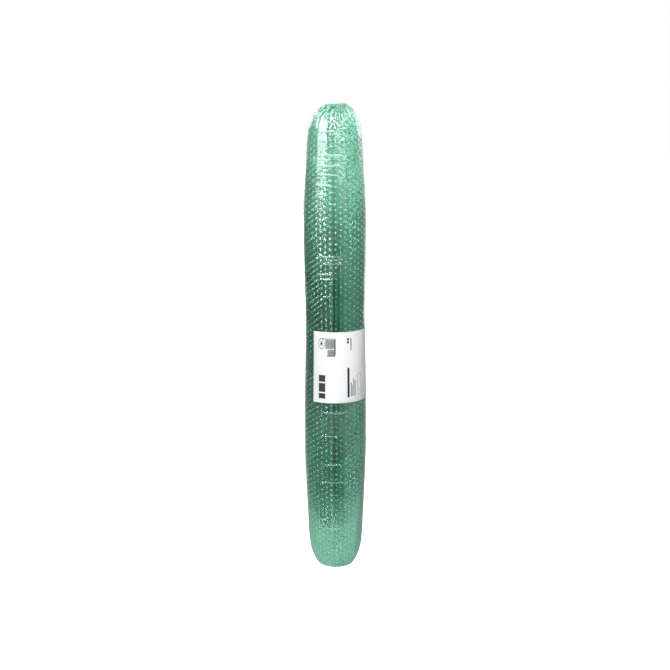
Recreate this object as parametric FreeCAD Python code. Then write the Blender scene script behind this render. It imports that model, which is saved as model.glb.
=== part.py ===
import FreeCAD, Part
import math
import os

# A one-metre roll of air-bubble film as it is sold: the sheet is wound on a
# cardboard core, its tail is held with two strips of clear tape, a sleeve of
# shrink film is drawn over the roll, and a paper label is stuck on the sleeve.
# The roll stands on its lower end. Its axis is +Z, and the floor is Z = 0.
# The front, where the sheet's tail lies, faces -Y. Everything is in millimetres.

# ---------------------------------------------------------------- bubble sheet
SHEET_WIDTH = 1000.0        # along the roll's axis
SHEET_LENGTH = 5000.0       # unwound
TURN_PITCH = 2.46           # one turn of pressed bubbles with the air around it
TAIL_ANGLE = -93.0          # degrees from +X, where the outermost turn ends

# ------------------------------------------------------------------- core tube
CORE_BORE_RADIUS = 19.0
CORE_WALL = 2.0
CORE_CLEARANCE = 0.3        # between the core and the first turn

# ------------------------------------------------------------------- tail tape
TAPE_WIDTH = 48.0           # along the roll's axis
TAPE_LENGTH = 70.0          # around the roll
TAPE_THICKNESS = 0.3
TAPE_CLEARANCE = 0.2        # between the outermost turn and the tape
UPPER_TAPE_HEIGHT = 676.0   # middle of the strip above the floor
LOWER_TAPE_HEIGHT = 339.0

# ----------------------------------------------------------------- shrink film
FILM_THICKNESS = 0.5
FILM_CLEARANCE = 0.4        # between the film and the tape under it
FILM_END_CLEARANCE = 0.5    # between the lower film ring and the sheet's edge
FILM_DOME = 12.0            # how far the film stands above the sheet's upper edge
EYE_MARGIN = 1.0            # how far the round hole at each end clears the core
TOP_RING_WIDTH = 2.5        # flat film between that hole and the shoulder
BOTTOM_RING_WIDTH = 14.3    # the same at the foot, where the roll stands on it

# How far the film draws the roll in from its full radius. A taper is the long
# narrowing towards an end, and a shoulder is the short round-over behind the
# flat ring. A shoulder's depth follows from the ring that it ends on.
SHOULDER_POWER = 3.5        # how quickly a shoulder fades away from its end
BOTTOM_SHOULDER_LENGTH = 90.0
BOTTOM_TAPER = 9.2
BOTTOM_TAPER_LENGTH = 300.0
TOP_SHOULDER_LENGTH = 80.0
TOP_TAPER = 11.5
TOP_TAPER_LENGTH = 260.0
WAIST = 2.8                 # shallow narrowing behind the label
WAIST_HEIGHT = 537.0
WAIST_HALF_LENGTH = 200.0

# ----------------------------------------------------------------- paper label
LABEL_WIDTH = 207.0         # around the roll
LABEL_HEIGHT = 153.5        # along the roll's axis
LABEL_THICKNESS = 0.3
LABEL_CLEARANCE = 0.1       # glue between the film and the label
LABEL_BOTTOM = 386.5        # lower edge above the floor
LABEL_START_ANGLE = -133.0  # degrees from +X, the label's left edge

# ---------------------------------------------------------------- derived sizes
CORE_OUTER_RADIUS = CORE_BORE_RADIUS + CORE_WALL
FIRST_TURN_RADIUS = CORE_OUTER_RADIUS + CORE_CLEARANCE
# The area of the wound roll's end is the sheet's length times one pitch.
WOUND_RADIUS = math.sqrt(FIRST_TURN_RADIUS ** 2 + SHEET_LENGTH * TURN_PITCH / math.pi)
TURNS = (WOUND_RADIUS - FIRST_TURN_RADIUS) / TURN_PITCH
SKIN_GAP = TAPE_CLEARANCE + TAPE_THICKNESS + FILM_CLEARANCE
FULL_RADIUS = WOUND_RADIUS + SKIN_GAP + FILM_THICKNESS
EYE_RADIUS = CORE_OUTER_RADIUS + EYE_MARGIN
BOTTOM_SHOULDER = FULL_RADIUS - BOTTOM_TAPER - EYE_RADIUS - BOTTOM_RING_WIDTH
TOP_SHOULDER = FULL_RADIUS - TOP_TAPER - EYE_RADIUS - TOP_RING_WIDTH
SHEET_BOTTOM = FILM_THICKNESS + FILM_END_CLEARANCE
SHEET_TOP = SHEET_BOTTOM + SHEET_WIDTH
TOTAL_HEIGHT = SHEET_TOP + FILM_DOME

# ------------------------------------------------------------ sampling of curves
FILM_ARCS = 16              # arcs in the film's outline from end to end
STRIP_RUNS = 4              # straight runs in the profile of the label or a tape
SHEET_SECTIONS = 20         # spans of the wound sheet from edge to edge
SPIRAL_FACES = 4            # faces that the outermost turn is divided into
POINTS_PER_FACE = 7         # points that each face's edge passes through


def shoulder(distance, depth, length):
    """Draw-in of a round-over, by the distance from its end of the roll."""
    if distance >= length:
        return 0.0
    return depth * (1.0 - distance / length) ** SHOULDER_POWER


def ramp(distance, depth, length):
    """Draw-in that fades smoothly from full depth to nothing over a length."""
    if abs(distance) >= length:
        return 0.0
    return depth * math.cos(0.5 * math.pi * distance / length) ** 2


def film_radius(height):
    """Outer radius of the film at a height above the floor."""
    from_top = TOTAL_HEIGHT - height
    draw_in = shoulder(height, BOTTOM_SHOULDER, BOTTOM_SHOULDER_LENGTH)
    draw_in += ramp(height, BOTTOM_TAPER, BOTTOM_TAPER_LENGTH)
    draw_in += shoulder(from_top, TOP_SHOULDER, TOP_SHOULDER_LENGTH)
    draw_in += ramp(from_top, TOP_TAPER, TOP_TAPER_LENGTH)
    draw_in += ramp(height - WAIST_HEIGHT, WAIST, WAIST_HALF_LENGTH)
    return FULL_RADIUS - draw_in


def layer_radius(height, depth):
    """Radius of a layer that lies a depth under the film's outer surface.

    The depth is measured square to the surface, and is negative outside it.
    """
    step = 0.5
    slope = (film_radius(height + step) - film_radius(height - step)) / (2.0 * step)
    return film_radius(height) - depth * math.sqrt(1.0 + slope ** 2)


def heights(low, high, spans):
    """Heights from low to high, closer together near both ends."""
    shares = [0.5 - 0.5 * math.cos(math.pi * i / spans) for i in range(spans + 1)]
    return [low + (high - low) * share for share in shares]


def smooth_curve(points):
    """One spline through the given points, as an edge.

    The points get evenly spaced parameters, so curves with as many points match.
    """
    last = len(points) - 1
    curve = Part.BSplineCurve()
    curve.interpolate(Points=points, Parameters=[i / last for i in range(last + 1)])
    return curve.toShape()


def outline_point(depth, height):
    """Point on the profile of a layer, in the XZ plane."""
    return FreeCAD.Vector(layer_radius(height, depth), 0.0, height)


def outline_arcs(depth, low, high, arc_count):
    """Profile of a layer in the XZ plane, as a chain of arcs from low to high."""
    points = [outline_point(depth, z) for z in heights(low, high, 2 * arc_count)]
    starts = range(0, 2 * arc_count, 2)
    return [Part.Arc(points[i], points[i + 1], points[i + 2]).toShape() for i in starts]


def straight(start, end):
    """Straight edge between two points."""
    return Part.LineSegment(start, end).toShape()


def polar(radius, degrees, height):
    """Point at a radius and an angle about the roll's axis."""
    angle = math.radians(degrees)
    return FreeCAD.Vector(radius * math.cos(angle), radius * math.sin(angle), height)


def turned(section, start_angle, sweep_angle):
    """Solid made by turning a flat section about the roll's axis."""
    origin = FreeCAD.Vector(0, 0, 0)
    axis = FreeCAD.Vector(0, 0, 1)
    placed = section.copy()
    placed.rotate(origin, axis, start_angle)
    return placed.revolve(origin, axis, sweep_angle)


def wrapped_strip(inner_depth, outer_depth, low, high, start_angle, sweep_angle):
    """Thin piece that follows the roll between two depths and two heights.

    Its profile is nearly straight, so it is a chain of short straight runs.
    """
    levels = [low + (high - low) * i / STRIP_RUNS for i in range(STRIP_RUNS + 1)]
    up = [outline_point(outer_depth, height) for height in levels]
    down = [outline_point(inner_depth, height) for height in reversed(levels)]
    section = Part.Face(Part.makePolygon(up + down + up[:1]))
    return turned(section, start_angle, sweep_angle)


def core_tube():
    """Cardboard tube as long as the sheet is wide."""
    corners = [
        FreeCAD.Vector(CORE_BORE_RADIUS, 0.0, SHEET_BOTTOM),
        FreeCAD.Vector(CORE_OUTER_RADIUS, 0.0, SHEET_BOTTOM),
        FreeCAD.Vector(CORE_OUTER_RADIUS, 0.0, SHEET_TOP),
        FreeCAD.Vector(CORE_BORE_RADIUS, 0.0, SHEET_TOP),
    ]
    section = Part.Face(Part.makePolygon(corners + corners[:1]))
    return turned(section, 0.0, 360.0)


def spiral_point(height, share):
    """Point on the outermost turn, which grows by one pitch towards the tail.

    share runs from 0 just past the tail to 1 at the tail's edge. Towards the
    roll's ends the film presses all turns together in the same ratio.
    """
    pressed_radius = layer_radius(height, FILM_THICKNESS + SKIN_GAP)
    press = (pressed_radius - FIRST_TURN_RADIUS) / (WOUND_RADIUS - FIRST_TURN_RADIUS)
    radius = pressed_radius - TURN_PITCH * press * (1.0 - share)
    return polar(radius, TAIL_ANGLE - 360.0 * (1.0 - share), height)


def sheet_section(height):
    """Closed outline of the wound sheet at one height, with the tail's step."""
    edges = []
    steps = POINTS_PER_FACE - 1
    for face in range(SPIRAL_FACES):
        shares = [(face + i / steps) / SPIRAL_FACES for i in range(POINTS_PER_FACE)]
        edges.append(smooth_curve([spiral_point(height, share) for share in shares]))
    edges.append(straight(spiral_point(height, 1.0), spiral_point(height, 0.0)))
    return Part.Wire(edges)


def bubble_sheet():
    """All turns of the wound sheet as one soft body around the core."""
    sections = [sheet_section(z) for z in heights(SHEET_BOTTOM, SHEET_TOP, SHEET_SECTIONS)]
    body = Part.makeLoft(sections, True, False)
    hole_base = FreeCAD.Vector(0, 0, SHEET_BOTTOM - 1.0)
    hole = Part.makeCylinder(FIRST_TURN_RADIUS, SHEET_WIDTH + 2.0, hole_base)
    return body.cut(hole).Solids[0]


def tail_tape(height):
    """Strip of clear tape that holds the tail down, under the film."""
    outer_depth = FILM_THICKNESS + FILM_CLEARANCE
    sweep = math.degrees(TAPE_LENGTH / layer_radius(height, outer_depth))
    return wrapped_strip(
        outer_depth + TAPE_THICKNESS,
        outer_depth,
        height - 0.5 * TAPE_WIDTH,
        height + 0.5 * TAPE_WIDTH,
        TAIL_ANGLE - 0.5 * sweep,
        sweep,
    )


def shrink_film():
    """Closed sleeve over the roll, with a round eye at each end."""
    low = FILM_THICKNESS
    high = TOTAL_HEIGHT - FILM_THICKNESS
    edges = outline_arcs(0.0, 0.0, TOTAL_HEIGHT, FILM_ARCS)
    edges += outline_arcs(FILM_THICKNESS, low, high, FILM_ARCS)
    for inside, outside in ((low, 0.0), (high, TOTAL_HEIGHT)):
        inner_lip = FreeCAD.Vector(EYE_RADIUS, 0.0, inside)
        outer_lip = FreeCAD.Vector(EYE_RADIUS, 0.0, outside)
        edges.append(straight(outline_point(FILM_THICKNESS, inside), inner_lip))
        edges.append(straight(inner_lip, outer_lip))
        edges.append(straight(outer_lip, outline_point(0.0, outside)))
    section = Part.Face(Part.Wire(Part.__sortEdges__(edges)))
    return turned(section, 0.0, 360.0)


def paper_label():
    """Label stuck on the film, most of the way round one side."""
    inner_depth = -LABEL_CLEARANCE
    middle = LABEL_BOTTOM + 0.5 * LABEL_HEIGHT
    sweep = math.degrees(LABEL_WIDTH / layer_radius(middle, inner_depth))
    return wrapped_strip(
        inner_depth,
        inner_depth - LABEL_THICKNESS,
        LABEL_BOTTOM,
        LABEL_BOTTOM + LABEL_HEIGHT,
        LABEL_START_ANGLE,
        sweep,
    )


def main():
    parts = {
        "core_tube": core_tube(),
        "bubble_sheet": bubble_sheet(),
        "tail_tape_upper": tail_tape(UPPER_TAPE_HEIGHT),
        "tail_tape_lower": tail_tape(LOWER_TAPE_HEIGHT),
        "shrink_film": shrink_film(),
        "paper_label": paper_label(),
    }
    os.makedirs("parts", exist_ok=True)
    for name, shape in parts.items():
        shape.exportStep("parts/" + name + ".step")
        print(name, shape.ShapeType, "valid", shape.isValid(), "volume cm3", round(shape.Volume / 1000.0, 2))
    print("wound radius", round(WOUND_RADIUS, 2), "turns", round(TURNS, 2), "height", TOTAL_HEIGHT)
    print("end radii", round(film_radius(0.0), 2), round(film_radius(TOTAL_HEIGHT), 2), "eye", EYE_RADIUS)


main()
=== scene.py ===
import math
import random

import bmesh
import bpy
import numpy as np
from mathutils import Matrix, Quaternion, Vector, noise


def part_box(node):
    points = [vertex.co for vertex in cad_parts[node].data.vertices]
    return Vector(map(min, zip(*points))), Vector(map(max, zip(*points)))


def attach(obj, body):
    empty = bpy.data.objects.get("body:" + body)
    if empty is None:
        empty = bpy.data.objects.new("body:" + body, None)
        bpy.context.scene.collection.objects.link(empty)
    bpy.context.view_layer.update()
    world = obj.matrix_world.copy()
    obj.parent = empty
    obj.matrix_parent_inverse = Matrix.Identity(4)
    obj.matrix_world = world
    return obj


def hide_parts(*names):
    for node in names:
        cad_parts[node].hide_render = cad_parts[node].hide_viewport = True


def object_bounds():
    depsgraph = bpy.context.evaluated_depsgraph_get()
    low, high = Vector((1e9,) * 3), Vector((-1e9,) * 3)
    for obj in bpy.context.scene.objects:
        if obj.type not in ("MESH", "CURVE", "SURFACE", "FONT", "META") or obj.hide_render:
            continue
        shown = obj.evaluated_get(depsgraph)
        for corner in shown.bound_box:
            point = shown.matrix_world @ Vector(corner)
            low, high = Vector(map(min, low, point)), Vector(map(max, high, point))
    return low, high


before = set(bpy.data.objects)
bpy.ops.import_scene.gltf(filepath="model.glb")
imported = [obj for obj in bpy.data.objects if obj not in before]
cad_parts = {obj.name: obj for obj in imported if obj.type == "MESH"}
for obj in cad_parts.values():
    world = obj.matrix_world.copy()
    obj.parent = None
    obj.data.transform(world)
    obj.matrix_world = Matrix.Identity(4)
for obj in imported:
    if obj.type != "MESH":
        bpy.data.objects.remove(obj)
cad_low, cad_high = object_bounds()

# The roll stands on Z = 0 with its axis on +Z, and its front faces -Y.
# An angle is measured from the front, in degrees, and grows towards +X.
HEIGHT = cad_high.z
CORE_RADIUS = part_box("core_tube")[1].x
SHEET_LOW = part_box("bubble_sheet")[0].z
SHEET_HIGH = HEIGHT - 0.003     # its edge is crumpled up into the film's dome
LABEL_CUT = (0.207, 0.1535)
TAIL_ANGLE = -3.0
LABEL_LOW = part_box("paper_label")[0].z
LABEL_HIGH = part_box("paper_label")[1].z
LABEL_START = -43.0
LABEL_SWEEP = 182.0

BUBBLE_PITCH = 0.0119        # along the roll, before the rows are fitted to its length
BUBBLE_RADIUS = 0.0049
BUBBLE_HEIGHT = 0.0022       # pressed down by the film
BUBBLE_CORNERS = 12
SHOULDER_REACH = 0.76        # where a bubble's side turns into its top, of its radius
SHOULDER_RISE = 0.80         # and of its height
BUBBLE_FOOT_RISE = 0.0001
FLAT_BUBBLE_SHARE = 0.02     # bubbles that have lost their air
FILM_TO_BUBBLES = 0.0008     # from the film's outside to the bubble tops
FIRST_TURN_GAP = 0.0003
TURN_PITCH = 0.00246
PLY_THICKNESS = 0.0019       # of an inner turn, bubbles and all
BUBBLE_COLUMNS = 39          # in one turn at full radius
BUBBLE_ROWS = int(round((SHEET_HIGH - SHEET_LOW) / BUBBLE_PITCH))
ROW_PITCH = (SHEET_HIGH - SHEET_LOW) / BUBBLE_ROWS

random.seed(7)


# ------------------------------------------------------------- shape of the roll
def film_outline():
    """Heights and outer radii of the CAD film, read from its outer faces."""
    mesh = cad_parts["shrink_film"].data
    rows = {}
    for face in mesh.polygons:
        outward = face.normal.x * face.center.x + face.normal.y * face.center.y
        if outward < 0.3 * math.hypot(face.center.x, face.center.y):
            continue
        for index in face.vertices:
            point = mesh.vertices[index].co
            level = round(point.z, 4)
            rows[level] = max(rows.get(level, 0.0), math.hypot(point.x, point.y))
    levels = sorted(rows)
    return levels, [rows[level] for level in levels]


OUTLINE_LEVELS, OUTLINE_RADII = film_outline()
FULL_RADIUS = max(OUTLINE_RADII)
FILM_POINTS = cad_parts["shrink_film"].data.vertices
EYE_RADIUS = min(math.hypot(point.co.x, point.co.y) for point in FILM_POINTS)
TABLE_STEPS = 2000
OUTLINE_BLEND = 0.012       # reach over which the outline is averaged


def smooth_outline():
    """Film radius at evenly spaced heights, averaged so that arcs join smoothly."""
    steps = np.linspace(0.0, HEIGHT, TABLE_STEPS + 1)
    reach = np.minimum(OUTLINE_BLEND, np.minimum(0.5 * steps, 0.5 * (HEIGHT - steps)))
    samples = [
        np.interp(steps + reach * k / 2, OUTLINE_LEVELS, OUTLINE_RADII)
        for k in (-2, -1, 0, 1, 2)
    ]
    return [float(radius) for radius in sum(samples) / len(samples)]


RADIUS_TABLE = smooth_outline()


def film_radius(z):
    """Outer radius of the film at height z."""
    place = min(max(z / HEIGHT, 0.0), 1.0) * TABLE_STEPS
    index = min(int(place), TABLE_STEPS - 1)
    share = place - index
    return RADIUS_TABLE[index] * (1.0 - share) + RADIUS_TABLE[index + 1] * share


def around(radius, degrees, z):
    """Point at an angle from the front."""
    angle = math.radians(degrees)
    return Vector((radius * math.sin(angle), -radius * math.cos(angle), z))


def make_mesh(name, verts, faces, materials, face_materials=None, smooth=True):
    """Mesh object that rides on the roll."""
    mesh = bpy.data.meshes.new(name)
    mesh.from_pydata([tuple(v) for v in verts], [], faces)
    for material in materials:
        mesh.materials.append(material)
    if face_materials is not None:
        mesh.polygons.foreach_set("material_index", face_materials)
    mesh.polygons.foreach_set("use_smooth", [smooth] * len(mesh.polygons))
    mesh.validate()
    mesh.update()
    piece = bpy.data.objects.new(name, mesh)
    bpy.context.scene.collection.objects.link(piece)
    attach(piece, "root")
    return piece


# -------------------------------------------------------------------- materials
class Nodes:
    """Short way to build a node tree."""

    def __init__(self, name):
        self.material = bpy.data.materials.new(name)
        self.material.use_nodes = True
        self.tree = self.material.node_tree
        self.tree.nodes.clear()
        self.output = self.add("ShaderNodeOutputMaterial")

    def add(self, kind, **settings):
        node = self.tree.nodes.new(kind)
        for key, value in settings.items():
            if key in node.inputs:
                node.inputs[key].default_value = value
            else:
                setattr(node, key, value)
        return node

    def set(self, node, **values):
        for key, value in values.items():
            node.inputs[key.replace("_", " ")].default_value = value

    def link(self, source, node, socket):
        output = source.outputs[0] if hasattr(source, "outputs") else source
        self.tree.links.new(output, node.inputs[socket])

    def math(self, operation, *values, clamp=False):
        node = self.add("ShaderNodeMath", operation=operation, use_clamp=clamp)
        for index, value in enumerate(values):
            if isinstance(value, (int, float)):
                node.inputs[index].default_value = value
            else:
                self.link(value, node, index)
        return node

    def remap(self, value, low, high, to_low=0.0, to_high=1.0):
        """Smooth step from one range to another."""
        node = self.add("ShaderNodeMapRange", interpolation_type="SMOOTHSTEP")
        self.link(value, node, "Value")
        self.set(node, From_Min=low, From_Max=high, To_Min=to_low, To_Max=to_high)
        return node

    def noise(self, coordinates, scale, detail=4.0, roughness=0.5):
        node = self.add("ShaderNodeTexNoise")
        self.set(node, Scale=scale, Detail=detail, Roughness=roughness)
        self.link(coordinates, node, "Vector")
        return node.outputs["Fac"]

    def stretched(self, coordinates, scale):
        node = self.add("ShaderNodeVectorMath", operation="MULTIPLY")
        self.link(coordinates, node, 0)
        node.inputs[1].default_value = scale
        return node

    def ramp(self, value, stops):
        node = self.add("ShaderNodeValToRGB")
        self.link(value, node, "Fac")
        elements = node.color_ramp.elements
        while len(elements) < len(stops):
            elements.new(0.5)
        for element, (position, color) in zip(elements, stops):
            element.position = position
            element.color = (*color, 1.0)
        return node

    def total(self, *values):
        """Sum of two or more values."""
        result = values[0]
        for value in values[1:]:
            result = self.math("ADD", result, value)
        return result

    def multiply_colors(self, first, second, share):
        """Product of two colours, taken by a share."""
        node = self.add("ShaderNodeMix", data_type="RGBA", blend_type="MULTIPLY")
        node.inputs["Factor"].default_value = share
        self.link(first, node, "A")
        self.link(second, node, "B")
        return node.outputs["Result"]

    def mix_shaders(self, share, first, second):
        node = self.add("ShaderNodeMixShader")
        for index, source in enumerate((share, first, second)):
            self.link(source, node, index)
        return node

    def axis(self, coordinates, name):
        """One axis of a point."""
        node = self.add("ShaderNodeSeparateXYZ")
        self.link(coordinates, node, "Vector")
        return node.outputs[name]

    def bump(self, height, strength, distance, after=None):
        node = self.add("ShaderNodeBump")
        self.set(node, Strength=strength, Distance=distance)
        self.link(height, node, "Height")
        if after is not None:
            self.link(after, node, "Normal")
        return node

    def finish(self, shader):
        self.link(shader, self.output, "Surface")
        return self.material


def object_coordinates(n):
    return n.add("ShaderNodeTexCoord").outputs["Object"]


def angle_past_tail(n, place):
    """Angle from the tail's edge, in radians, growing towards +X."""
    backward = n.math("MULTIPLY", n.axis(place, "Y"), -1.0)
    angle = n.math("ARCTAN2", n.axis(place, "X"), backward)
    past_tail = n.math("SUBTRACT", angle, math.radians(TAIL_ANGLE) - math.tau)
    return n.math("FLOORED_MODULO", past_tail, math.tau)


def bubble_material(name, deep, light, alpha):
    """Green polyethylene, slightly uneven in tint, with painted shade in the groove past the tail.
    """
    n = Nodes(name)
    place = object_coordinates(n)
    cloud = n.noise(place, 22.0, 3.0)
    grain = n.noise(place, 420.0, 2.0)
    mixed = n.math("ADD", n.math("MULTIPLY", cloud, 0.88), n.math("MULTIPLY", grain, 0.12))
    tint = n.ramp(mixed, [(0.32, deep), (0.68, light)])
    # Painted shade: the colour is darkened just past the tail's edge, where the step down to the
    # turn below lies in shadow under the film.
    groove = n.remap(angle_past_tail(n, place), 0.04, 0.17, 0.42, 1.0)
    shader = n.add("ShaderNodeBsdfPrincipled")
    n.link(n.multiply_colors(tint, groove, 1.0), shader, "Base Color")
    n.set(shader, Roughness=0.2, IOR=1.45, Alpha=alpha)
    wrinkle = n.noise(n.stretched(place, (1.0, 1.0, 0.35)), 900.0, 3.0, 0.6)
    n.link(n.bump(wrinkle, 0.25, 0.0002), shader, "Normal")
    return n.finish(shader)


def bubble_lattice(n, place):
    """Wave that peaks at 3 over each bubble of the outermost turn and dips to -1.5."""
    turn = angle_past_tail(n, place)
    across = n.math("SUBTRACT", n.math("MULTIPLY", turn, 0.5 * BUBBLE_COLUMNS), 0.5 * math.pi)
    rise = n.math("SUBTRACT", n.axis(place, "Z"), SHEET_LOW)
    along = n.math("MULTIPLY", rise, math.tau / ROW_PITCH)
    staggered = n.math("MULTIPLY", n.math("COSINE", across), n.math("COSINE", along))
    columns = n.math("COSINE", n.math("MULTIPLY", across, 2.0))
    return n.math("ADD", n.math("MULTIPLY", staggered, 2.0), columns)


def film_normal(n, place, z, lattice):
    """Film drawn down round the bubbles, crinkled across and streaked along the roll."""
    humps = n.remap(lattice, -1.5, 3.0)
    hug = n.math("MULTIPLY", humps, n.remap(z, 0.88 * HEIGHT, 0.70 * HEIGHT, 0.35, 1.0))
    crinkle = n.noise(n.stretched(place, (0.5, 0.5, 3.0)), 90.0, 5.0, 0.6)
    streak = n.noise(n.stretched(place, (1.0, 1.0, 0.12)), 160.0, 4.0, 0.6)
    fine = n.noise(place, 480.0, 3.0, 0.6)
    normal = n.bump(crinkle, 0.7, 0.0011, n.bump(hug, 0.6, 0.0009))
    normal = n.bump(streak, 0.35, 0.0003, normal)
    return n.bump(fine, 0.3, 0.0002, normal)


def film_haze(n, place, z):
    """Milky share of the film: more at both ends, on the right and at the rims."""
    top = n.remap(z, 0.62 * HEIGHT, 0.90 * HEIGHT, 0.0, 0.28)
    foot = n.remap(z, 0.20 * HEIGHT, 0.06 * HEIGHT, 0.0, 0.60)

    rightward = n.remap(n.axis(place, "X"), 0.10 * FULL_RADIUS, 0.60 * FULL_RADIUS)
    right = n.math("MULTIPLY", rightward, n.remap(z, 0.66 * HEIGHT, 0.40 * HEIGHT, 0.24, 0.40))
    right = n.math("MULTIPLY", right, n.remap(z, 0.05 * HEIGHT, 0.16 * HEIGHT, 0.2, 1.0))

    edge = n.add("ShaderNodeLayerWeight")
    n.set(edge, Blend=0.30)
    facing = edge.outputs["Facing"]
    narrow = n.math("MULTIPLY", n.math("POWER", facing, 5.0), 0.7)
    low_down = n.remap(z, 0.62 * HEIGHT, 0.30 * HEIGHT, 0.05, 0.90)
    wide = n.math("MULTIPLY", n.math("POWER", facing, 1.3), low_down)
    rim = n.math("MAXIMUM", narrow, wide)

    grain = n.remap(n.noise(place, 300.0, 4.0, 0.6), 0.36, 0.64, 0.75, 1.22)
    return n.math("MULTIPLY", n.total(top, foot, rim, right), grain, clamp=True)


def painted_highlights(n, place, lattice):
    """Share of painted highlight on the film: a pale spot where it touches each bubble, and a pale
    line along each crease.
    """
    bubble_top_glint = n.remap(lattice, 1.3, 2.8)
    uneven = n.remap(n.noise(place, 32.0, 3.0), 0.35, 0.65, 0.24, 0.42)
    fold = n.add("ShaderNodeAttribute", attribute_name=CREASE_ATTRIBUTE)
    crease_glint = n.math("MULTIPLY", fold.outputs["Fac"], 0.55)
    return n.math("MAXIMUM", n.math("MULTIPLY", bubble_top_glint, uneven), crease_glint, clamp=True)


def film_mirror(n):
    """Share of gloss, alike on both sides of the film: low face on, high at a slant."""
    tilt = n.add("ShaderNodeLayerWeight")
    n.set(tilt, Blend=0.5)
    grazing = n.math("POWER", tilt.outputs["Facing"], 5.0)
    return n.math("MULTIPLY_ADD", grazing, 0.7, 0.035)


def film_material():
    """Clear shrink film over bubbles: haze, painted highlights on the bubble tops and creases, and
    gloss.
    """
    n = Nodes("clear_shrink_film")
    place = object_coordinates(n)
    z = n.axis(place, "Z")
    lattice = bubble_lattice(n, place)
    normal = film_normal(n, place, z, lattice)

    clear = n.add("ShaderNodeBsdfTransparent")
    milk = n.add("ShaderNodeBsdfPrincipled")
    n.set(milk, Base_Color=(0.17, 0.48, 0.33, 1.0), Roughness=0.45)
    n.link(normal, milk, "Normal")
    # Pale diffuse painted on as highlights at the bubble tops and along the creases.
    highlight_paint = n.add("ShaderNodeBsdfDiffuse")
    n.set(highlight_paint, Color=(0.46, 0.80, 0.62, 1.0))
    gloss = n.add("ShaderNodeBsdfGlossy")
    n.set(gloss, Color=(1.0, 1.0, 1.0, 1.0), Roughness=0.15)
    n.link(normal, gloss, "Normal")

    body = n.mix_shaders(film_haze(n, place, z), clear, milk)
    with_painted_highlights = n.mix_shaders(painted_highlights(n, place, lattice), body, highlight_paint)
    return n.finish(n.mix_shaders(film_mirror(n), with_painted_highlights, gloss))


def tape_material():
    """Clear packing tape with a faint green tint."""
    n = Nodes("clear_packing_tape")
    place = object_coordinates(n)
    ripple = n.noise(n.stretched(place, (1.0, 1.0, 3.0)), 90.0, 4.0)
    shader = n.add("ShaderNodeBsdfPrincipled")
    n.set(shader, Base_Color=(0.30, 0.62, 0.45, 1.0), Roughness=0.08, Alpha=0.05)
    n.link(n.bump(ripple, 0.4, 0.002), shader, "Normal")
    return n.finish(shader)


def paper_material():
    """Smooth coated label paper with a faint fibre grain."""
    n = Nodes("label_paper")
    place = object_coordinates(n)
    fibre = n.noise(n.stretched(place, (1.0, 1.0, 0.5)), 1400.0, 4.0, 0.6)
    tint = n.ramp(fibre, [(0.3, (0.93, 0.935, 0.95)), (0.7, (0.97, 0.975, 0.985))])
    wave = n.noise(place, 28.0, 2.0)
    shader = n.add("ShaderNodeBsdfPrincipled")
    n.link(tint, shader, "Base Color")
    n.set(shader, Roughness=0.42)
    n.link(n.bump(wave, 0.12, 0.004, n.bump(fibre, 0.15, 0.0003)), shader, "Normal")
    return n.finish(shader)


def ink_material(name, tone):
    """Printed ink, slightly uneven."""
    n = Nodes(name)
    speckle = n.noise(object_coordinates(n), 2600.0, 2.0)
    low = tuple(0.85 * c for c in tone)
    high = tuple(1.2 * c for c in tone)
    shader = n.add("ShaderNodeBsdfPrincipled")
    n.link(n.ramp(speckle, [(0.35, low), (0.65, high)]), shader, "Base Color")
    n.set(shader, Roughness=0.5)
    return n.finish(shader)


SEAM_LEAD = 0.11        # height of one turn of the core's spiral seam


def cardboard_material():
    """Grey-brown wound cardboard with its spiral seam."""
    n = Nodes("core_cardboard")
    place = object_coordinates(n)
    turn = n.math("ARCTAN2", n.axis(place, "Y"), n.axis(place, "X"))
    rise = n.math("MULTIPLY", n.axis(place, "Z"), math.tau / SEAM_LEAD)
    seam = n.math("SINE", n.math("ADD", rise, turn))
    groove = n.remap(seam, 0.93, 1.0, 1.0, 0.0)
    fibre = n.noise(n.stretched(place, (1.0, 1.0, 0.4)), 700.0, 5.0, 0.65)
    tint = n.ramp(fibre, [(0.3, (0.30, 0.21, 0.13)), (0.7, (0.50, 0.38, 0.25))])
    shader = n.add("ShaderNodeBsdfPrincipled")
    n.link(n.multiply_colors(tint, groove, 0.5), shader, "Base Color")
    n.set(shader, Roughness=0.85)
    n.link(n.bump(fibre, 0.3, 0.0004, n.bump(groove, 0.5, 0.0008)), shader, "Normal")
    return n.finish(shader)


# ------------------------------------------------------------------ bubble sheet
FIRST_TURN = CORE_RADIUS + FIRST_TURN_GAP
WOUND_RADIUS = FULL_RADIUS - FILM_TO_BUBBLES
TURNS = (WOUND_RADIUS - BUBBLE_HEIGHT - FIRST_TURN) / TURN_PITCH
INNER_TURNS = TURNS - 0.96      # they run a little way into the outermost turn
STEPS_PER_TURN = 32
OUTER_LENGTH = math.tau * (WOUND_RADIUS - BUBBLE_HEIGHT)
UNDER, DOME, WEB = 0, 1, 2      # material indices of the bubble sheet


def sheet_point(turn, rise, z):
    """Point on the wound sheet, a rise above its base, at a count of turns."""
    press = (film_radius(z) - FILM_TO_BUBBLES - FIRST_TURN) / (WOUND_RADIUS - FIRST_TURN)
    radius = FIRST_TURN + (TURN_PITCH * turn + rise) * press
    return around(radius, TAIL_ANGLE + 360.0 * (turn - TURNS), z)


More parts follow.
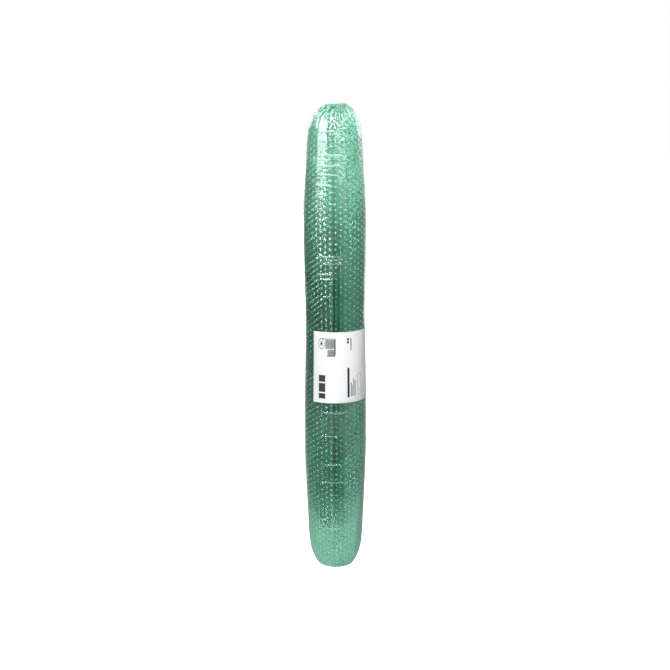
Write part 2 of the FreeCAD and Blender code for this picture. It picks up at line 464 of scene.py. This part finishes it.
def inner_turns(verts, faces):
    """All turns under the outermost one: a plain ribbon with real thickness."""
    steps = int(INNER_TURNS * STEPS_PER_TURN)
    levels = [0.0, 0.006, 0.015, 0.03, 0.05, 0.075, 0.11, 0.16, 0.25, 0.5, 0.7, 0.78]
    levels += [0.83, 0.87, 0.90, 0.925, 0.945, 0.96, 0.972, 0.982, 0.99, 0.996, 1.0]
    base = len(verts)
    width = 2 * len(levels)
    for step in range(steps + 1):
        turn = INNER_TURNS * step / steps
        for share in levels:
            z = SHEET_LOW + (SHEET_HIGH - SHEET_LOW) * share
            verts.append(sheet_point(turn, 0.0, z))
            verts.append(sheet_point(turn, PLY_THICKNESS, z))
    for step in range(steps):
        here, there = base + step * width, base + (step + 1) * width
        for k in range(len(levels) - 1):
            a, b = 2 * k, 2 * k + 2
            faces.append((here + a, here + b, there + b, there + a))
            faces.append((here + a + 1, there + a + 1, there + b + 1, here + b + 1))
        top = width - 2
        faces.append((here, there, there + 1, here + 1))
        faces.append((here + top, here + top + 1, there + top + 1, there + top))
    for end in (base, base + steps * width):
        for k in range(len(levels) - 1):
            a, b = end + 2 * k, end + 2 * k + 2
            quad = (a, a + 1, b + 1, b)
            faces.append(quad if end == base else quad[::-1])


def outer_turn(verts, faces, parts):
    """The outermost turn with every bubble: a dome in each hexagonal cell."""
    column_pitch = OUTER_LENGTH / BUBBLE_COLUMNS
    corner_u = column_pitch / 1.5
    corner_v = ROW_PITCH / math.sqrt(3)
    sides = BUBBLE_CORNERS
    sheet_width = SHEET_HIGH - SHEET_LOW
    lean = 0.0004
    turns = [math.tau * k / sides for k in range(sides)]
    circle = [(math.cos(turn), math.sin(turn)) for turn in turns]

    def cell_edge(k):
        """Cell outline at a corner, or half way between two corners."""
        if k % 2 == 0:
            return corner_u * circle[k][0], corner_v * circle[k][1]
        before, after = circle[k - 1], circle[(k + 1) % sides]
        return 0.5 * corner_u * (before[0] + after[0]), 0.5 * corner_v * (before[1] + after[1])

    def put(u, v, rise):
        u = min(u, OUTER_LENGTH)
        v = min(max(v, 0.0), sheet_width)
        if u >= OUTER_LENGTH or v <= 0.0 or v >= sheet_width:
            rise = 0.0
        verts.append(sheet_point(TURNS - 1.0 + u / OUTER_LENGTH, rise, SHEET_LOW + v))
        return len(verts) - 1

    for column in range(-1, BUBBLE_COLUMNS + 1):
        for row in range(BUBBLE_ROWS + 1):
            u = (column + 0.5) * column_pitch
            v = (row + 0.5 * (column % 2)) * ROW_PITCH
            swell = random.uniform(0.82, 1.04)
            if random.random() < FLAT_BUBBLE_SHARE:
                swell = random.uniform(0.2, 0.5)
            lean_u = random.uniform(-lean, lean)
            lean_v = random.uniform(-lean, lean)
            edge, foot, side = [], [], []
            for k in range(sides):
                du, dv = cell_edge(k)
                edge.append(put(u + du, v + dv, 0.0))
            for k in range(sides):
                du, dv = circle[k]
                foot.append(put(u + BUBBLE_RADIUS * du, v + BUBBLE_RADIUS * dv, BUBBLE_FOOT_RISE))
            for k in range(sides):
                du, dv = circle[k]
                reach = SHOULDER_REACH * BUBBLE_RADIUS
                rise = SHOULDER_RISE * BUBBLE_HEIGHT * swell
                side.append(put(u + reach * du + lean_u, v + reach * dv + lean_v, rise))
            peak = put(u + lean_u, v + lean_v, BUBBLE_HEIGHT * swell)
            for k in range(sides):
                m = (k + 1) % sides
                faces.append((edge[k], edge[m], foot[m], foot[k]))
                faces.append((foot[k], foot[m], side[m], side[k]))
                faces.append((side[k], side[m], peak))
                parts.extend((WEB, DOME, DOME))


def remove_slivers(piece):
    """Joins points that meet and drops faces with no area."""
    mesh = bmesh.new()
    mesh.from_mesh(piece.data)
    bmesh.ops.remove_doubles(mesh, verts=mesh.verts, dist=2e-6)
    bmesh.ops.dissolve_degenerate(mesh, dist=1e-6, edges=mesh.edges)
    mesh.to_mesh(piece.data)
    mesh.free()
    piece.data.polygons.foreach_set("use_smooth", [True] * len(piece.data.polygons))


def build_bubble_sheet():
    verts, faces = [], []
    inner_turns(verts, faces)
    parts = [UNDER] * len(faces)
    outer_turn(verts, faces, parts)
    materials = [
        # One green film in three tints: the domes carry the lightest, the web between the bubbles
        # is painted darker as shade, and the inner turns are darker still, both for the depth of
        # the wound film and as painted shade under the outermost turn.
        bubble_material("bubble_film_inner", (0.005, 0.07, 0.035), (0.012, 0.13, 0.065), 1.0),
        bubble_material("bubble_film_dome", (0.010, 0.13, 0.070), (0.030, 0.235, 0.138), 0.72),
        bubble_material("bubble_film_web_painted_shade", (0.005, 0.080, 0.042), (0.013, 0.13, 0.072), 0.84),
    ]
    piece = make_mesh("bubble_sheet_wound", verts, faces, materials, parts)
    remove_slivers(piece)
    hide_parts("bubble_sheet")


# ------------------------------------------------------------------- shrink film
# Level creases across the film: height, middle angle, half width in degrees, depth.
CREASES = [
    (0.908, -8, 26, 0.0010), (0.898, -20, 18, 0.0008), (0.886, -14, 24, 0.0012),
    (0.868, -18, 16, 0.0008), (0.700, -10, 24, 0.0010), (0.694, -4, 18, 0.0008),
    (0.685, -6, 20, 0.0010), (0.663, -18, 16, 0.0010), (0.652, -18, 16, 0.0010),
    (0.365, -2, 30, 0.0011), (0.3125, -10, 22, 0.0008), (0.248, -6, 22, 0.0010),
    (0.208, -2, 28, 0.0010), (0.100, -6, 20, 0.0008), (0.735, 150, 40, 0.0010),
    (0.42, 200, 30, 0.0012), (0.60, 95, 25, 0.0009), (0.25, 120, 30, 0.0010),
    (0.83, 190, 30, 0.0010), (0.15, 230, 26, 0.0009), (0.955, -14, 20, 0.0008),
    (0.936, -24, 16, 0.0008), (0.846, -20, 18, 0.0009), (0.828, -24, 14, 0.0007),
    (0.775, -22, 12, 0.0006), (0.735, -18, 14, 0.0006), (0.615, -12, 18, 0.0006),
]
CREASE_DEPTH = 0.0012       # of the deepest ones
CREASE_SWELL = 1.2          # how much higher they stand than listed
CREASE_WIDTH = 0.0013
CREASE_RING_GAP = 0.0009    # between the film's rings at a crease
CREASE_ATTRIBUTE = "crease"

# Small dents in the film: height, angle, radius and depth.
DIMPLES = [
    (0.809, -1.5, 0.006, 0.0024), (0.62, 21, 0.006, 0.0012),
    (0.16, 12, 0.007, 0.0014), (0.77, 160, 0.007, 0.0018),
]
PLEAT_DEPTH = 0.0020


def dimple_depth(z, degrees):
    total = 0.0
    for level, middle, radius, depth in DIMPLES:
        off = math.radians((degrees - middle + 180.0) % 360.0 - 180.0) * FULL_RADIUS
        total += depth * math.exp(-((z - level) ** 2 * 2.0 + off ** 2) / radius ** 2)
    return total


def crease_share(z, degrees):
    """Height of the level creases, as a share of the deepest one."""
    total = 0.0
    for level, middle, half, depth in CREASES:
        off = (degrees - middle + 180.0) % 360.0 - 180.0
        if abs(off) > half:
            continue
        wander = 0.0015 * noise.noise(Vector((off * 0.06, level * 40.0, 3.0)))
        fall = math.exp(-((z - level - wander) / CREASE_WIDTH) ** 2)
        total += depth / CREASE_DEPTH * fall * math.cos(0.5 * math.pi * off / half) ** 0.5
    return total


def pleat_height(z, degrees):
    """Radial folds where the film is gathered over each end."""
    total = 0.0
    ends = [(HEIGHT - z, 0.075, 17, 0.7), (z, 0.06, 19, 2.1)]
    for distance, reach, count, phase in ends:
        if distance > reach:
            continue
        strength = (1.0 - distance / reach) ** 1.5
        angle = math.radians(degrees)
        swing = 1.3 * noise.noise(Vector((math.sin(angle), math.cos(angle), phase)) * 1.7)
        wave = math.sin(count * angle + phase + 3.0 * swing)
        total += PLEAT_DEPTH * strength * (abs(wave) ** 0.7 * 2.0 - 1.0)
    return total


def film_offset(z, degrees):
    """How far the film stands from its smooth outline, outwards."""
    angle = math.radians(degrees)
    here = Vector((math.sin(angle), -math.cos(angle), 0.0)) * 0.0665
    here.z = z
    slow = noise.noise(here * 11.0 + Vector((5, 1, 2))) * 0.0006
    ridge = 1.0 - abs(noise.noise(Vector((here.x * 38, here.y * 38, z * 60)))) * 2.2
    cross = 1.0 - abs(noise.noise(Vector((here.x * 60, here.y * 60, z * 14 + 9)))) * 2.2
    wrinkle = 0.0004 * max(0.0, ridge) ** 3 + 0.0003 * max(0.0, cross) ** 3
    crease = CREASE_SWELL * CREASE_DEPTH * crease_share(z, degrees)
    return slow + wrinkle + crease + pleat_height(z, degrees) - dimple_depth(z, degrees)


TOP_ROUND = 0.007       # height over which the shoulder rounds in to the eye
FILM_COLUMNS = 208
EVEN_RINGS = 300


def film_levels():
    """Heights of the film's rings: even, and close together at each crease."""
    low, high = 0.0006, HEIGHT - TOP_ROUND
    wanted = [low + (high - low) * i / EVEN_RINGS for i in range(EVEN_RINGS + 1)]
    for level, *_ in CREASES:
        wanted += [level + step * CREASE_RING_GAP for step in range(-4, 5)]
    levels = []
    for z in sorted(wanted):
        if not levels or z - levels[-1] > 0.0005:
            levels.append(z)
    return levels


def build_shrink_film():
    """Sleeve over the roll, gathered over both ends around a round eye."""
    columns = FILM_COLUMNS
    verts, faces = [], []

    def ring(points):
        start = len(verts)
        verts.extend(points)
        if start:
            for k in range(columns):
                m = (k + 1) % columns
                before = start - columns
                faces.append((before + k, before + m, start + m, start + k))

    def end_ring(share, top):
        """Ring of the flat end, from the shoulder in to the eye."""
        z_edge = HEIGHT - TOP_ROUND if top else 0.0
        outer = film_radius(z_edge)
        points = []
        for k in range(columns):
            degrees = 360.0 * k / columns
            angle = math.radians(degrees)
            radius = outer + (EYE_RADIUS - outer) * share
            radius += 0.0012 * share * math.sin(5 * angle + 1.0) * (1.0 if top else 0.6)
            if top:
                fold = abs(math.sin(8.5 * angle + 2.0 * math.sin(2 * angle)))
                peak = math.exp(-((degrees + 40.0 + 180.0) % 360.0 - 180.0) ** 2 / 700.0)
                side = math.sin(angle) ** 2 * (1.4 if degrees > 180.0 else 0.7)
                lift = TOP_ROUND * math.sin(0.5 * math.pi * min(1.0, 1.15 * share))
                lift += share * (0.0016 * fold + 0.0022 * peak - 0.0020 * side - 0.0012)
                z = z_edge + lift
            else:
                z = 0.0004 + 0.0008 * share * abs(math.sin(9 * angle))
            points.append(around(radius, degrees, z))
        return points

    for share in (1.0, 0.75, 0.5, 0.25):
        ring(end_ring(share, False))
    for z in film_levels():
        points = []
        for k in range(columns):
            degrees = 360.0 * k / columns
            points.append(around(film_radius(z) + film_offset(z, degrees), degrees, z))
        ring(points)
    for share in (0.15, 0.35, 0.55, 0.8, 1.0):
        ring(end_ring(share, True))
    piece = make_mesh("shrink_film_sleeve", verts, faces, [film_material()])
    crease = piece.data.attributes.new(CREASE_ATTRIBUTE, "FLOAT", "POINT")
    shares = [crease_share(v.z, math.degrees(math.atan2(v.x, -v.y))) for v in verts]
    crease.data.foreach_set("value", shares)
    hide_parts("shrink_film")


# -------------------------------------------------------------------- tail tape
TAPE_HALF_SWEEP = 30.0      # degrees
FILM_TO_TAPE = 0.00055
TAPE_THICKNESS = 0.0001


def build_tape(node):
    """Strip of tape under the film, over the tail's edge."""
    low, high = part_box(node)
    columns, rows = 40, 24
    verts, faces = [], []
    for i in range(rows + 1):
        z = low.z + (high.z - low.z) * i / rows
        for k in range(columns + 1):
            degrees = TAIL_ANGLE + TAPE_HALF_SWEEP * (2.0 * k / columns - 1.0)
            dip = 0.00025 * noise.noise(Vector((degrees * 0.12, z * 160, 4.0)))
            verts.append(around(film_radius(z) - FILM_TO_TAPE + dip, degrees, z))
    for i in range(rows):
        for k in range(columns):
            a = i * (columns + 1) + k
            faces.append((a, a + 1, a + columns + 2, a + columns + 1))
    piece = make_mesh(node + "_strip", verts, faces, [TAPE_MATERIAL])
    solid = piece.modifiers.new("thickness", "SOLIDIFY")
    solid.thickness = TAPE_THICKNESS
    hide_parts(node)


# ------------------------------------------------------------------ paper label
FILM_TO_LABEL = 0.0011
LABEL_THICKNESS = 0.00025
PRINT_LIFT = 0.00012


def label_point(along, across, lift):
    """Point on the label: shares of its width and height, from its lower left."""
    degrees = LABEL_START + LABEL_SWEEP * along
    z = LABEL_LOW + (LABEL_HIGH - LABEL_LOW) * across
    bow = 0.0005 * noise.noise(Vector((along * 5.0, across * 3.0, 8.0)))
    edge = min(along, 1.0 - along, across, 1.0 - across)
    curl = 0.0008 * max(0.0, 1.0 - edge / 0.03) ** 2
    return around(film_radius(z) + FILM_TO_LABEL + bow + 0.4 * curl + lift, degrees, z)


def build_label():
    columns, rows = 120, 60
    verts, faces = [], []
    for i in range(rows + 1):
        for k in range(columns + 1):
            verts.append(label_point(k / columns, i / rows, 0.0))
    for i in range(rows):
        for k in range(columns):
            a = i * (columns + 1) + k
            faces.append((a, a + 1, a + columns + 2, a + columns + 1))
    piece = make_mesh("paper_label_sheet", verts, faces, [paper_material()])
    solid = piece.modifiers.new("thickness", "SOLIDIFY")
    solid.thickness = LABEL_THICKNESS
    solid.offset = -1.0
    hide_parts("paper_label")


# ------------------------------------------------------------------- label print
# The print is generic: bars stand where a label has words, in millimetres from
# the label's lower left corner, and the picture is a plain roll of film.
LABEL_WIDTH_MM, LABEL_HEIGHT_MM = (1000.0 * side for side in LABEL_CUT)
BLACK_BARS = [
    (13.5, 9.5, 28.0, 21.0), (13.5, 24.0, 28.0, 43.0), (13.5, 46.0, 28.0, 60.5),
    (75.0, 11.5, 79.8, 76.0),
    (74.5, 129.0, 79.5, 133.5), (74.5, 135.5, 79.5, 140.0),
]
GREY_BARS = [
    (82.6, 13.5, 84.4, 43.5), (86.2, 13.5, 87.4, 38.0),
    (89.2, 13.5, 90.8, 51.0), (92.4, 13.5, 94.0, 47.0),
    (82.8, 113.5, 84.8, 140.0),
]
PILL = (100.5, 13.5, 111.5, 61.0)
PILL_LINE = 0.7
HALF_TURN = [math.pi * k / 14 for k in range(15)]
BLACK, GREY = 0, 1


class Print:
    """Flat shapes laid on the label, collected into one thin piece."""

    def __init__(self):
        self.verts, self.faces, self.inks = [], [], []

    def put(self, x, y):
        self.verts.append(label_point(x / LABEL_WIDTH_MM, y / LABEL_HEIGHT_MM, PRINT_LIFT))
        return len(self.verts) - 1

    def strip(self, left, right, ink, closed=False):
        """Faces between two rows of points."""
        pairs = [(self.put(*a), self.put(*b)) for a, b in zip(left, right)]
        if closed:
            pairs.append(pairs[0])
        for (a, b), (c, d) in zip(pairs, pairs[1:]):
            self.faces.append((a, b, d, c))
            self.inks.append(ink)

    def bar(self, x0, y0, x1, y1, ink):
        steps = max(1, int((x1 - x0) / 3.0))
        xs = [x0 + (x1 - x0) * k / steps for k in range(steps + 1)]
        self.strip([(x, y1) for x in xs], [(x, y0) for x in xs], ink)

    def ring(self, x, y, inner, outer, ink, squeeze=1.0):
        turns = [math.tau * k / 40 for k in range(40)]
        outside = [(x + squeeze * outer * math.cos(t), y + outer * math.sin(t)) for t in turns]
        inside = [(x + squeeze * inner * math.cos(t), y + inner * math.sin(t)) for t in turns]
        self.strip(inside, outside, ink, closed=True)

    def pill(self, x0, y0, x1, y1, line, ink):
        radius = 0.5 * (x1 - x0)
        middle = 0.5 * (x0 + x1)
        high, low = y1 - radius, y0 + radius
        rims = []
        for reach in (radius, radius - line):
            top = [(middle + reach * math.cos(t), high + reach * math.sin(t)) for t in HALF_TURN]
            foot = [(middle - reach * math.cos(t), low - reach * math.sin(t)) for t in HALF_TURN]
            rims.append(top + foot)
        self.strip(rims[1], rims[0], ink, closed=True)


def draw_roll_picture(sheet):
    """Plain picture of a roll of film with its free end hanging down."""
    end_x, end_y, end_radius = 19.5, 128.5, 11.5
    right = 50.0
    foot = end_y - end_radius
    top = end_y + end_radius
    sheet.ring(end_x, end_y, end_radius - 1.6, end_radius, GREY, 0.62)
    sheet.ring(end_x, end_y, 4.6, 5.6, GREY, 0.62)
    sheet.ring(end_x, end_y, 0.05, 2.9, BLACK, 0.75)
    sheet.bar(end_x, top - 1.4, right, top, BLACK)
    stripes = 9
    for k in range(stripes):
        x = end_x + 9.0 + (right - end_x - 12.0) * k / (stripes - 1)
        sheet.bar(x, foot + 1.0, x + 1.7, top - 2.4, GREY)
        if k > 1:
            sheet.bar(x, foot - 14.0, x + 1.7, foot - 0.6, GREY)
    sheet.bar(right - 2.2, foot - 12.5, right, top, BLACK)
    sheet.bar(end_x + 12.5, foot - 15.4, right - 1.0, foot - 14.0, BLACK)


def build_label_print():
    sheet = Print()
    for bar in BLACK_BARS:
        sheet.bar(*bar, BLACK)
    for bar in GREY_BARS:
        sheet.bar(*bar, GREY)
    sheet.pill(*PILL, PILL_LINE, GREY)
    draw_roll_picture(sheet)
    black = ink_material("ink_black", (0.012, 0.013, 0.016))
    grey = ink_material("ink_grey", (0.028, 0.036, 0.055))
    inks = [black, grey]
    piece = make_mesh("paper_label_print", sheet.verts, sheet.faces, inks, sheet.inks, smooth=False)


TAPE_MATERIAL = tape_material()
build_bubble_sheet()
build_tape("tail_tape_upper")
build_tape("tail_tape_lower")
build_shrink_film()
build_label()
build_label_print()
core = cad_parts["core_tube"]
core.data.materials.clear()
core.data.materials.append(cardboard_material())


# ------------------------------------------------------- camera, floor and light
def area_light(name, place, aim, size, power, color=(1.0, 1.0, 1.0)):
    light = bpy.data.lights.new(name, "AREA")
    light.shape = "RECTANGLE"
    light.size, light.size_y = size
    light.energy = power
    light.color = color
    holder = bpy.data.objects.new(name, light)
    bpy.context.scene.collection.objects.link(holder)
    holder.location = place
    holder.rotation_euler = (Vector(aim) - Vector(place)).to_track_quat("-Z", "Y").to_euler()
    return holder


CAMERA_LEAN = -0.19     # degrees about the view line, so the roll's top leans left
CAMERA_LENS = 54.68     # mm, on a 36 mm sensor
CAMERA_BACK, CAMERA_UP, CAMERA_AIM = 2.14, 0.94, 0.515      # shares of the roll's height


def build_camera():
    data = bpy.data.cameras.new("camera")
    data.sensor_width = 36.0
    data.lens = CAMERA_LENS
    data.clip_end = 50.0
    camera = bpy.data.objects.new("camera", data)
    bpy.context.scene.collection.objects.link(camera)
    camera.location = (0.0, -CAMERA_BACK * HEIGHT, CAMERA_UP * HEIGHT)
    aim = Vector((0.0, 0.0, CAMERA_AIM * HEIGHT)) - camera.location
    lean = Quaternion((0.0, 0.0, 1.0), math.radians(CAMERA_LEAN))
    camera.rotation_euler = (aim.to_track_quat("-Z", "Y") @ lean).to_euler()
    bpy.context.scene.camera = camera


def build_floor():
    """White to the camera, grey as a surface, so that it throws little light back."""
    n = Nodes("white_floor")
    shader = n.add("ShaderNodeBsdfPrincipled")
    n.set(shader, Base_Color=(0.35, 0.35, 0.35, 1.0), Roughness=0.9)
    n.set(shader, Emission_Color=(1.0, 1.0, 1.0, 1.0))
    seen = n.add("ShaderNodeLightPath")
    glow = n.math("MULTIPLY_ADD", seen.outputs["Is Camera Ray"], FLOOR_GLOW, FLOOR_LIGHT)
    n.link(glow, shader, "Emission Strength")
    far = 30.0
    corners = [(-far, -far, 0), (far, -far, 0), (far, far, 0), (-far, far, 0)]
    mesh = bpy.data.meshes.new("floor")
    mesh.from_pydata(corners, [], [(0, 1, 2, 3)])
    mesh.materials.append(n.finish(shader))
    floor = bpy.data.objects.new("floor", mesh)
    bpy.context.scene.collection.objects.link(floor)


def build_world():
    """White to the camera, dimmer as a light, so that the roll keeps its depth."""
    world = bpy.data.worlds.new("studio")
    bpy.context.scene.world = world
    world.use_nodes = True
    tree = world.node_tree
    tree.nodes.clear()
    path = tree.nodes.new("ShaderNodeLightPath")
    seen = tree.nodes.new("ShaderNodeBackground")
    seen.inputs["Color"].default_value = (1.0, 1.0, 1.0, 1.0)
    seen.inputs["Strength"].default_value = 1.0
    lit = tree.nodes.new("ShaderNodeBackground")
    lit.inputs["Color"].default_value = (1.0, 1.0, 1.0, 1.0)
    lit.inputs["Strength"].default_value = WORLD_LIGHT
    mix = tree.nodes.new("ShaderNodeMixShader")
    output = tree.nodes.new("ShaderNodeOutputWorld")
    tree.links.new(path.outputs["Is Camera Ray"], mix.inputs[0])
    tree.links.new(lit.outputs[0], mix.inputs[1])
    tree.links.new(seen.outputs[0], mix.inputs[2])
    tree.links.new(mix.outputs[0], output.inputs["Surface"])


def build_lights():
    """Fill that only lights, rims from behind, and panes that only glare."""
    # Name, place, aim, size, watts, and the spread in degrees where there is one.
    fills = [
        ("fill_upper", (-0.05, -1.3, 1.6), (0, 0, 0.98), (0.6, 0.6), 4.6, 42),
        ("fill_front", (-0.1, -2.4, 1.2), (0, 0, 0.5), (1.2, 1.2), 2.4, 180),
        ("fill_low", (-0.2, -1.25, 0.35), (0, 0, 0.02), (0.5, 0.5), 1.3, 36),
        ("fill_behind", (0.4, 2.2, 1.5), (0, 0, 0.6), (1.2, 1.2), 10, 180),
    ]
    for name, place, aim, size, power, spread in fills:
        pane = area_light(name, place, aim, size, power)
        pane.data.spread = math.radians(spread)
        pane.visible_glossy = False
    rims = [("rim_left", -0.75, 13), ("rim_right", 0.75, 7)]
    for name, x, power in rims:
        area_light(name, (x, 2.0, 0.8), (0, 0, 0.5), (0.6, 2.2), power, (0.93, 1.0, 0.96))
    glare = [
        ("glare_left", (-1.50, -1.15, 1.88), (1.45, 1.7), 150),
        ("glare_right", (0.80, -1.8, 2.0), (0.32, 1.5), 75),
        ("glare_low", (-1.35, -1.75, 1.35), (0.35, 0.7), 6),
        ("glare_behind_left", (-0.9, 1.7, 1.9), (0.8, 1.6), 60),
        ("glare_behind_right", (1.5, 1.2, 1.8), (0.5, 1.6), 40),
    ]
    for name, place, size, power in glare:
        pane = area_light(name, place, (0, 0, 0.9), size, power)
        pane.visible_diffuse = False


FLOOR_GLOW = 1.0        # seen by the camera only
FLOOR_LIGHT = 0.12
WORLD_LIGHT = 0.13
build_camera()
build_floor()
build_world()
build_lights()
bpy.context.scene.view_settings.view_transform = "Standard"
